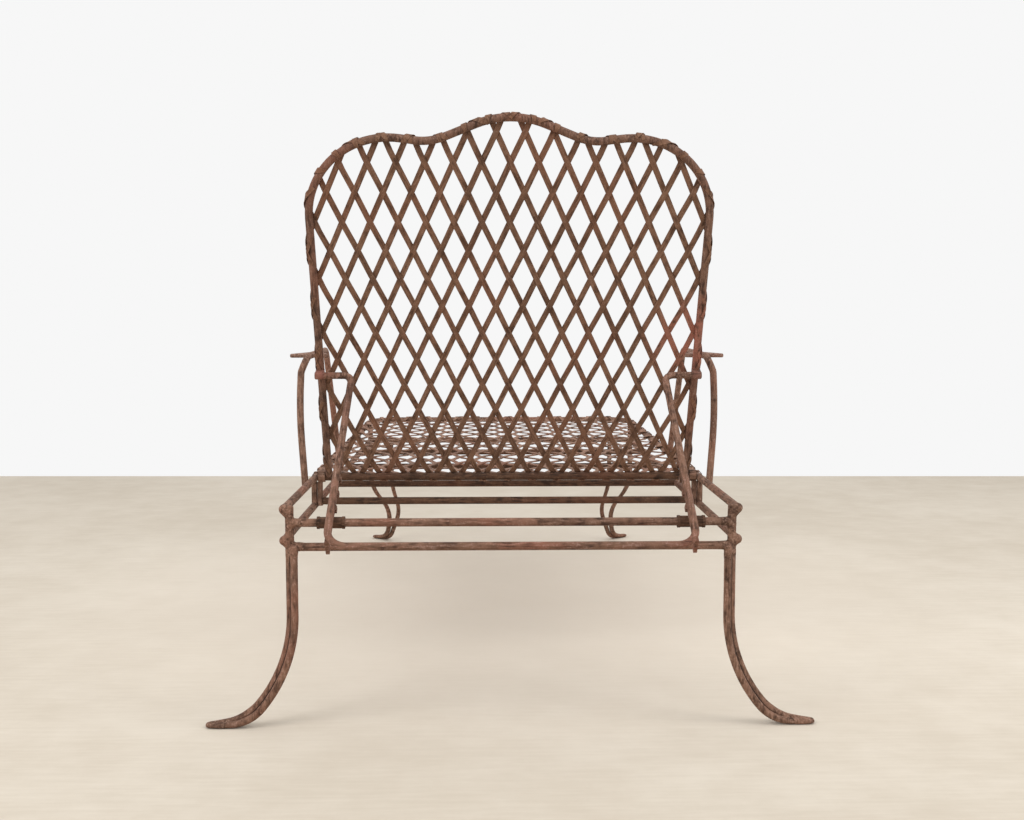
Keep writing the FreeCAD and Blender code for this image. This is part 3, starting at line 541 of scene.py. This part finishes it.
# Rings near the toe, as lengths past the end of the bar's line. The skin over both starts at the fourth.
TOE_RUNS = (-0.048, -0.042, -0.036, -0.030, -0.024, -0.018, -0.012, -0.006, 0, 0.006, 0.012, 0.017, 0.021,
            0.024, 0.026, 0.0273, 0.0279)
SKIN_START = 3
# Corners of the rear leg's bars: how far out from the post, and the height.
INNER_INSET = 0.0075
REAR_OUTER = ((0, 0.340), (0, 0.09479), (0.06817, OUTER_FOOT_HEIGHT))
REAR_INNER = ((-INNER_INSET, 0.278), (-INNER_INSET, 0.09205), (0.06467, INNER_FOOT_HEIGHT))
REAR_OUTER_BENDS = (0.2165, 0.058)
REAR_INNER_BENDS = (0.224, 0.0655)
# Corners of the front leg's bars: out from the seat's side, forward of the front bar, and the height.
FRONT_OUTER = ((0, 0, 0.3295), (0, 0, 0.28165), (0.003, 0.020, 0.165), (-0.046, 0.067, 0.088))
FRONT_INNER = ((-0.054, 0, 0.2815), (-0.054, 0.020, 0.165), (-0.071, 0.067, 0.088))
FRONT_OUTER_BENDS = (0.120, 0.120, 0.110, 0.035)
FRONT_INNER_BENDS = (0.120, 0.110, 0.035)
FRONT_FOOT = (-0.011, 0.120)
FRONT_FOOT_RUN = 0.032
KICK = math.radians(42)
# The painted shade along the rear legs' groove: where it starts and ends on the outer bar, its fade, sizes,
# offsets and steps.
GROOVE_SHADE_START, GROOVE_SHADE_END, GROOVE_SHADE_FADE = 0.066, 0.036, 0.030
GROOVE_SHADE_RADIUS, GROOVE_SHADE_TIP = 0.0010, 0.0002
GROOVE_SHADE_INWARD, GROOVE_SHADE_LOWER = 0.00725, 0.0014
GROOVE_SHADE_STEPS = 60


def ringed(mesh, rings, segments=20):
    """A closed bar through rings, each given by its middle and its two half axes."""
    bar = bmesh.new()
    bmesh.ops.create_cone(bar, cap_ends=True, segments=segments, radius1=1, radius2=1, depth=1)
    bmesh.ops.subdivide_edges(bar, edges=long_edges(bar, 2), cuts=len(rings) - 2)
    for vertex in bar.verts:
        middle, breadth, thickness = rings[round((vertex.co.z + 0.5) * (len(rings) - 1))]
        vertex.co = middle + breadth * vertex.co.x + thickness * vertex.co.y
        vertex.co.z = max(FLOOR_GAP, vertex.co.z)
    add_shape(mesh, bar)


def toe_rounding(run):
    """How much of its size a toe keeps near the tip."""
    return math.sqrt(1 - min(MOST_ROUNDING, max(0.0, 1 - (FOOT_LENGTH - run) / TOE_TIP) ** 2))


def leg_rings(line, radius, inward, drop, shift):
    """One leg bar: round along its line, then lowered by drop, moved by shift and flattened at the toe."""
    length = line.runs[-1]
    count = round((length + TOE_RUNS[0]) / RING_SPACING)
    runs = [(length + TOE_RUNS[0]) * step / count for step in range(count)]
    rings = []
    for run in runs + [length + run for run in TOE_RUNS]:
        middle, heading = line.at(min(run, length))
        middle = middle + heading * max(0.0, run - length)
        flat = smoothstep((run - length + FLATTENING_START) / FLATTENING_LENGTH)
        keep = toe_rounding(run - length)
        half = radius + (TOE_HALF - radius) * flat
        middle = middle + inward * (shift * flat) - Vector((0, 0, drop * flat))
        rings.append((middle, inward * (radius * keep), heading.cross(inward) * (half * (0.4 + 0.6 * keep))))
    return rings


def toe_rings(outer, inner):
    """The skin that closes over both bars at the toe."""
    rings = []
    start = SKIN_START - len(TOE_RUNS)
    for run, first, second in zip(TOE_RUNS[SKIN_START:], outer[start:], inner[start:]):
        closed = smoothstep((run + CLOSING_START) / CLOSING_LENGTH)
        between = (second[0] - first[0]) / 2
        breadth = between.normalized() * (between.length + first[1].length * (0.35 + 0.6 * closed))
        thickness = first[2].normalized() * (first[2].length * (0.25 + 0.83 * closed))
        rings.append(((first[0] + second[0]) / 2, breadth, thickness))
    return rings


def leg(end, side_name, outer_line, inner_line, inward):
    """Both bars of one leg and the skin over their toe."""
    mesh = bmesh.new()
    outer_drop = OUTER_FOOT_HEIGHT - TOE_HALF - OUTER_TOE_GAP
    inner_drop = INNER_FOOT_HEIGHT - TOE_HALF - INNER_TOE_GAP
    outer = leg_rings(outer_line, POST_RADIUS, inward, outer_drop, OUTER_TOE_SHIFT)
    inner = leg_rings(inner_line, LEG_RADIUS, inward, inner_drop, INNER_TOE_SHIFT)
    for rings in (outer, inner, toe_rings(outer, inner)):
        ringed(mesh, rings)
    bmesh.ops.recalc_face_normals(mesh, faces=mesh.faces)
    finished_piece(f"{end}_leg_{side_name}_pair", mesh, post_iron, "frame",
                   [f"{end}_{part}_{side_name}" for part in ("leg_outer", "leg_inner", "foot")])


def painted_groove_shade(name, line, inward, side):
    """A thin dark bar of painted shade along the groove between a rear leg's two bars, on the side that faces
    the rear.
    """
    end = line.runs[-1] - GROOVE_SHADE_END
    rings = []
    for step in range(GROOVE_SHADE_STEPS + 1):
        run = GROOVE_SHADE_START + (end - GROOVE_SHADE_START) * step / GROOVE_SHADE_STEPS
        middle, heading = line.at(run)
        lower = heading.cross(inward) * side
        size = GROOVE_SHADE_RADIUS * smoothstep((end - run) / GROOVE_SHADE_FADE) + GROOVE_SHADE_TIP
        rings.append((middle + inward * GROOVE_SHADE_INWARD + lower * GROOVE_SHADE_LOWER, inward * size, lower * size))
    mesh = bmesh.new()
    ringed(mesh, rings, segments=8)
    bmesh.ops.recalc_face_normals(mesh, faces=mesh.faces)
    finished_piece(name, mesh, groove_shade_iron, "frame")


def rear_leg(side_name, side):
    """The rear post and its inner bar, which kick out to the side."""
    mount = next(mount for mount in frame["record"]["mounts"] if mount["name"] == "rear_foot_" + side_name)
    post_x = side * (seat_half - POST_INSET)
    post_y = middle_of("rear_bar")[1]
    reach = abs(mount["pos_m"][0]) - FOOT_LENGTH / 2 - abs(post_x)

    def line(corners, bends, back):
        corners = [*corners, (reach, corners[-1][1])]
        return BarLine([(post_x + side * out, post_y - back, height) for out, height in corners],
                       bends, margin=0)

    outer_line = line(REAR_OUTER, REAR_OUTER_BENDS, 0)
    inner_line = line(REAR_INNER, REAR_INNER_BENDS, PAIR_ACROSS)
    inward = Vector((0, -1, 0))
    leg("rear", side_name, outer_line, inner_line, inward)
    # Painted shade in the groove between the leg's two bars.
    painted_groove_shade("painted_groove_shade_" + side_name, outer_line, inward, side)


def front_leg(side_name, side):
    """The front leg's two bars, which sweep forward and in, and kick out at the foot."""
    front_y = middle_of("front_bar")[1]

    def placed(out, forward, height):
        return Vector((side * (seat_half + out), front_y + forward, height))

    kick = Vector((side * math.cos(KICK), math.sin(KICK), 0))
    inward = Vector((-side * math.sin(KICK), math.cos(KICK), 0))
    foot = placed(*FRONT_FOOT, OUTER_FOOT_HEIGHT)
    inner_foot = placed(*FRONT_FOOT, INNER_FOOT_HEIGHT) + inward * PAIR_ACROSS
    outer = [placed(*corner) for corner in FRONT_OUTER] + [foot - kick * FRONT_FOOT_RUN, foot]
    inner = [placed(*corner) for corner in FRONT_INNER] + [inner_foot - kick * FRONT_FOOT_RUN, inner_foot]
    leg("front", side_name, BarLine(outer, FRONT_OUTER_BENDS, margin=0),
        BarLine(inner, FRONT_INNER_BENDS, margin=0), inward)


for side_name, side in SIDES:
    rear_leg(side_name, side)
    front_leg(side_name, side)


# Straps that hold the prop's ends on the back's side bars

PIVOT_ALONG_BACK = 0.210
PIVOT_BEHIND_BACK = 0.0145
PROP_RADIUS = 0.00575
STRAP_HALF_WIDTH = 0.0074
STRAP_THICKNESS = 0.0006
STRAP_REACH = 0.0105
STRAP_GAP = 0.0002
STRAP_STEPS = 14

prop_pivot = (back_panel.origin + back_panel.along * PIVOT_ALONG_BACK
              - back_panel.sitter_side * PIVOT_BEHIND_BACK)


def drawn_edge(mesh, edge, way):
    """Draw an edge out along a way, and give the edge at its end."""
    drawn = bmesh.ops.extrude_edge_only(mesh, edges=[edge])["geom"]
    moved = [part for part in drawn if isinstance(part, bmesh.types.BMVert)]
    bmesh.ops.translate(mesh, verts=moved, vec=way)
    return next(part for part in drawn if isinstance(part, bmesh.types.BMEdge))


def prop_strap(side_name, side):
    """A flat band bent round the prop's end, with both of its ends let into the side bar."""
    to_bar = back_panel.sitter_side * STRAP_REACH
    pivot = prop_pivot + Vector((side * back_half, 0, 0))
    start = pivot + to_bar + back_panel.along * (PROP_RADIUS + STRAP_GAP + STRAP_THICKNESS / 2)
    mesh = bmesh.new()
    ends = [mesh.verts.new(start + Vector((end * STRAP_HALF_WIDTH, 0, 0))) for end in (-1, 1)]
    edge = drawn_edge(mesh, mesh.edges.new(ends), -to_bar)
    turned = bmesh.ops.spin(mesh, geom=[edge, *edge.verts], cent=pivot, axis=ACROSS,
                            angle=math.pi, steps=STRAP_STEPS)["geom_last"]
    edge = next(part for part in turned if isinstance(part, bmesh.types.BMEdge))
    drawn_edge(mesh, edge, to_bar)
    bmesh.ops.recalc_face_normals(mesh, faces=mesh.faces)
    node = "prop_clip_" + side_name
    piece = finished_piece(node + "_strap", mesh, strap_iron, "back", [node])
    wall = piece.modifiers.new("wall", "SOLIDIFY")
    wall.thickness = STRAP_THICKNESS
    wall.offset = 0


for side_name, side in SIDES:
    prop_strap(side_name, side)


# Saw-toothed racks on the inner half of the prop's arms

PROP_TOP_INSET = 0.0535
PROP_SPREAD = 0.011
PROP_BELOW_CATCH = 0.060
CATCH_DEPTH = 0.018
NOTCHES = 4
NOTCH_PITCH = 0.0298
NOTCH_PLAY = 0.012
RACK_ROOT = 0.003
RACK_FLOOR = 0.00885
RACK_EDGE = 0.0005
RACK_OUTER, RACK_INNER, TOOTH_INNER = 0.0020, 0.0052, 0.0080
TOOTH_DEPTH = 0.0025
TOOTH_LENGTH = 0.013
TOOTH_SLOPE_END = 0.6
STOP_LEAD, STOP_WIDTH, STOP_DEPTH, STOP_HALF = 0.042, 0.009, 0.031, 0.0029


def shaped_block(mesh, placed, sections):
    """Add a block through rectangular sections, each a run down the arm, two depths and two insets."""
    block = bmesh.new()
    bmesh.ops.create_cube(block, size=1.0)
    bmesh.ops.subdivide_edges(block, edges=long_edges(block, 0), cuts=len(sections) - 2)
    for vertex in block.verts:
        run, near, far, outer, inner = sections[round((vertex.co.x + 0.5) * (len(sections) - 1))]
        vertex.co = placed(run, far if vertex.co.y > 0 else near, inner if vertex.co.z > 0 else outer)
    add_shape(mesh, block)


def prop_rack(side_name, side):
    """A root plate with four teeth that stand out inwards, and a stop that hangs from its lower end."""
    to_catch = Vector(middle_of("catch_bar")) - prop_pivot
    to_catch.x = 0
    tilt = math.atan2(to_catch.y, to_catch.z) + math.asin(CATCH_DEPTH / to_catch.length)
    down_arm = Vector((0, math.sin(tilt), math.cos(tilt)))
    under_arm = Vector((0, -down_arm.z, down_arm.y))
    at_catch = to_catch.dot(down_arm)
    down = (down_arm + Vector((side * PROP_SPREAD / (at_catch + PROP_BELOW_CATCH), 0, 0))).normalized()
    top = prop_pivot + Vector((side * (back_half - PROP_TOP_INSET), 0, 0))

    def placed(run, depth, inset):
        return top + down * run + under_arm * depth - Vector((side * inset, 0, 0))

    mesh = bmesh.new()
    last_step = at_catch - NOTCH_PLAY
    stop = at_catch + STOP_LEAD
    root_ends = (last_step - NOTCHES * NOTCH_PITCH, last_step, stop + STOP_WIDTH)
    shaped_block(mesh, placed, [(run, RACK_ROOT, RACK_FLOOR, RACK_OUTER, RACK_INNER) for run in root_ends])
    for count in range(NOTCHES):
        step = last_step - count * NOTCH_PITCH
        sections = []
        for before, inner in ((NOTCH_PITCH, RACK_INNER), (TOOTH_LENGTH, RACK_INNER),
                              (TOOTH_LENGTH * TOOTH_SLOPE_END, TOOTH_INNER), (0, TOOTH_INNER)):
            far = RACK_FLOOR + TOOTH_DEPTH * (1 - before / NOTCH_PITCH)
            sections.append((step - before, RACK_ROOT, far, RACK_OUTER, inner))
        shaped_block(mesh, placed, sections)
    stop_ends = (stop, stop + STOP_WIDTH / 2, stop + STOP_WIDTH)
    shaped_block(mesh, placed, [(run, RACK_ROOT, STOP_DEPTH, -STOP_HALF, STOP_HALF) for run in stop_ends])
    bmesh.ops.recalc_face_normals(mesh, faces=mesh.faces)
    node = "prop_rack_" + side_name
    piece = finished_piece(node + "_teeth", mesh, prop_iron, "prop", [node])
    round_edges(piece, RACK_EDGE)


for side_name, side in SIDES:
    prop_rack(side_name, side)


# Forged lumps where bars are hammered together

LUMP_GRAIN = 0.0010
SOFTENING_ROUNDS = 14
# How close the dents lie, and how deep they are.
DENTS = ((95, 0.0006), (260, 0.0002))
# Runs of bar in each lump: both ends as inset from the post, place along the rail and height, both radii.
UPPER_LUMP = (((-POST_INSET, -0.001, 0.336), (-POST_INSET, 0.016, 0.336), 0.0078, 0.0066),
              ((-POST_INSET, -0.001, 0.335), (0, 0, 0.326), 0.0074, 0.0070),
              ((0, 0, 0.336), (0, 0, 0.300), 0.0067, 0.0067),
              ((0.003, 0, 0.315), (0.022, 0, 0.315), 0.0073, 0.0064))
LOWER_LUMP = (((-POST_INSET, -0.001, 0.288), (-POST_INSET, 0.014, 0.288), 0.0074, 0.0065),
              ((-0.007, -0.001, 0.287), (0, 0, 0.281), 0.0073, 0.0072),
              ((0, 0, 0.302), (0, 0, 0.262), 0.0067, 0.0068),
              ((0.002, 0, 0.278), (0.024, 0, 0.278), 0.0078, 0.0064),
              ((INNER_INSET, -PAIR_ACROSS, 0.275), (INNER_INSET, -PAIR_ACROSS, 0.258), 0.0064, 0.0058),
              ((0.001, -0.001, 0.272), (INNER_INSET, -PAIR_ACROSS, 0.272), 0.0066, 0.0066))


def melted(mesh):
    """Run the shapes of a mesh together into one soft skin, as hot iron closes over a joint."""
    data = bpy.data.meshes.new("melt")
    mesh.to_mesh(data)
    mesh.free()
    blank = bpy.data.objects.new("melt", data)
    scene.collection.objects.link(blank)
    closing = blank.modifiers.new("closing", "REMESH")
    closing.mode = "VOXEL"
    closing.voxel_size = LUMP_GRAIN
    softening = blank.modifiers.new("softening", "SMOOTH")
    softening.iterations = SOFTENING_ROUNDS
    skin = bpy.data.meshes.new_from_object(blank.evaluated_get(bpy.context.evaluated_depsgraph_get()))
    soft = bmesh.new()
    soft.from_mesh(skin)
    bpy.data.objects.remove(blank)
    bpy.data.meshes.remove(data)
    bpy.data.meshes.remove(skin)
    return soft


def forged_lump(name, runs):
    """One lump over short runs of bar, each given by its two ends and the radius at each."""
    mesh = bmesh.new()
    for start, end, first, last in runs:
        turn = (end - start).to_track_quat("Z", "Y").to_matrix().to_4x4()
        bmesh.ops.create_cone(mesh, cap_ends=True, segments=24, radius1=first, radius2=last,
                              depth=(end - start).length, matrix=Matrix.Translation((start + end) / 2) @ turn)
        for spot, radius in ((start, first), (end, last)):
            bmesh.ops.create_icosphere(mesh, subdivisions=3, radius=radius, matrix=Matrix.Translation(spot))
    mesh = melted(mesh)
    mesh.normal_update()
    for vertex in mesh.verts:
        dent = sum(noise.noise(vertex.co * spread) * depth for spread, depth in DENTS)
        vertex.co += vertex.normal * dent
    finished_piece(name, mesh, rail_iron, "frame")


def corner_lumps(side_name, side):
    """The rear corner: both rails' round ends and the cross bars' ends closed on the post."""
    post_y = middle_of("rear_bar")[1]

    def spot(inset, run, height):
        return Vector((side * (seat_half - POST_INSET - inset), post_y + run, height))

    for level, lump in (("upper", UPPER_LUMP), ("lower", LOWER_LUMP)):
        runs = [(spot(*start), spot(*end), first, last) for start, end, first, last in lump]
        forged_lump(f"forged_corner_{level}_{side_name}", runs)


for side_name, side in SIDES:
    corner_lumps(side_name, side)


# Finishes on the solids that keep their shape: streaks run along each bar

# The arm hoops take a lighter copy of the iron, painted light.
FINISH_BY_START = {"back_": back_iron, "prop_": prop_iron, "arm_pad": pad_iron, "arm_hoop": painted_light_arm_finish,
                   "upper_rail": rail_iron, "lower_rail": rail_iron, "seat_frame": rail_iron,
                   "rear_leg": post_iron, "front_leg": post_iron, "mid_post": post_iron,
                   # The bars under the seat and the hinge take the darker copy of the iron, painted shade.
                   "mid_bar": painted_shade_iron, "hinge_shaft": painted_shade_iron, "stretcher": painted_shade_iron,
                   "seat_rear_bar": painted_shade_iron, "catch_collar": painted_shade_iron}


def solid_finish(node):
    for start, finish in FINISH_BY_START.items():
        if node.startswith(start):
            return finish
    return cross_iron


for part in frame["record"]["subparts"]:
    frame["nodes"][part["node"]].material_slots[0].material = solid_finish(part["node"])


# Floor, light and camera

FLOOR_WIDTH, FLOOR_LENGTH = 12, 5.04
FLOOR_FAR_EDGE = 1.989
FLOOR_BRUSHING = (0.10, 0.010, 0.1)
# Middle and radii of the painted pool of light under the chair.
FLOOR_PAINTED_LIGHT_MIDDLE = (0, 0.1, 0)
FLOOR_PAINTED_LIGHT_CORE, FLOOR_PAINTED_LIGHT_RIM = 0.15, 1.3
ROOM_LIGHT = 0.93
LIGHT_AIM = (0, 0, 0.3)
# Each lamp's name, place, size and power.
LAMPS = (("left_window", (-2.2, -2.2, 2.4), 1.6, 42),
         ("right_window", (2.4, -1.5, 2.4), 1.6, 36),
         ("top_light", (0.3, 0.4, 3.0), 2.0, 12))
CAMERA_PLACE = (-0.0387, -2.524551, 0.6407)
CAMERA_PITCH = math.radians(85.076)
CAMERA_YAW = math.radians(-1.251)
CAMERA_LENS, CAMERA_SENSOR = 42.19, 36


def floor_finish():
    """Pale brushed floor with soft marks, and a painted pool of light under the chair that lifts the chair's
    shadow.
    """
    finish = Finish("pale_floor")
    place = finish.place()
    brushed = finish.stretched(place, FLOOR_BRUSHING)
    marks = finish.grain(place, 1.3, 3.0) * 0.4 + finish.grain(place, 9.0, 6.0, 0.65) * 0.35
    marks = marks + finish.grain(brushed, 1.0, 5.0) * 0.25
    colour = finish.blended(finish.band(marks, 0.3, 0.7), tint(190, 179, 163), tint(207, 198, 184))
    # Painted light: a lighter patch under the chair that lifts the chair's shadow on the floor.
    away = finish.distance(place, FLOOR_PAINTED_LIGHT_MIDDLE)
    painted_light_pool = 1 - finish.band(away, FLOOR_PAINTED_LIGHT_CORE, FLOOR_PAINTED_LIGHT_RIM)
    colour = finish.blended(painted_light_pool * 0.8, colour, tint(222, 211, 196))
    finish.fill(finish.shader, {"Base Color": colour, "Roughness": 0.85, "Specular IOR Level": 0.2})
    return finish.material


def studio_floor():
    mesh = bmesh.new()
    bmesh.ops.create_grid(mesh, x_segments=1, y_segments=1, size=0.5)
    bmesh.ops.scale(mesh, vec=(FLOOR_WIDTH, FLOOR_LENGTH, 1), verts=mesh.verts)
    bmesh.ops.translate(mesh, vec=(0, FLOOR_FAR_EDGE - FLOOR_LENGTH / 2, 0), verts=mesh.verts)
    bmesh.ops.rotate(mesh, cent=(0, 0, 0), matrix=Matrix.Rotation(CAMERA_YAW, 3, "Z"), verts=mesh.verts)
    data = bpy.data.meshes.new("studio_floor")
    mesh.to_mesh(data)
    mesh.free()
    data.materials.append(floor_finish())
    floor = bpy.data.objects.new("studio_floor", data)
    scene.collection.objects.link(floor)


def soft_light(name, place, size, power):
    data = bpy.data.lights.new(name, "AREA")
    data.size = size
    data.energy = power
    lamp = bpy.data.objects.new(name, data)
    lamp.location = place
    lamp.rotation_euler = (Vector(LIGHT_AIM) - Vector(place)).to_track_quat("-Z", "Y").to_euler()
    scene.collection.objects.link(lamp)


def white_room():
    world = bpy.data.worlds.new("white_room")
    world.use_nodes = True
    background = world.node_tree.nodes["Background"]
    background.inputs["Color"].default_value = (1, 1, 1, 1)
    background.inputs["Strength"].default_value = ROOM_LIGHT
    scene.world = world
    scene.view_settings.view_transform = "Standard"


def photo_camera():
    """A camera at the photograph's viewing angle."""
    data = bpy.data.cameras.new("camera")
    data.sensor_width = CAMERA_SENSOR
    data.lens = CAMERA_LENS
    camera = bpy.data.objects.new("camera", data)
    camera.location = CAMERA_PLACE
    camera.rotation_euler = (CAMERA_PITCH, 0, CAMERA_YAW)
    scene.collection.objects.link(camera)
    scene.camera = camera


studio_floor()
white_room()
for lamp in LAMPS:
    soft_light(*lamp)
photo_camera()
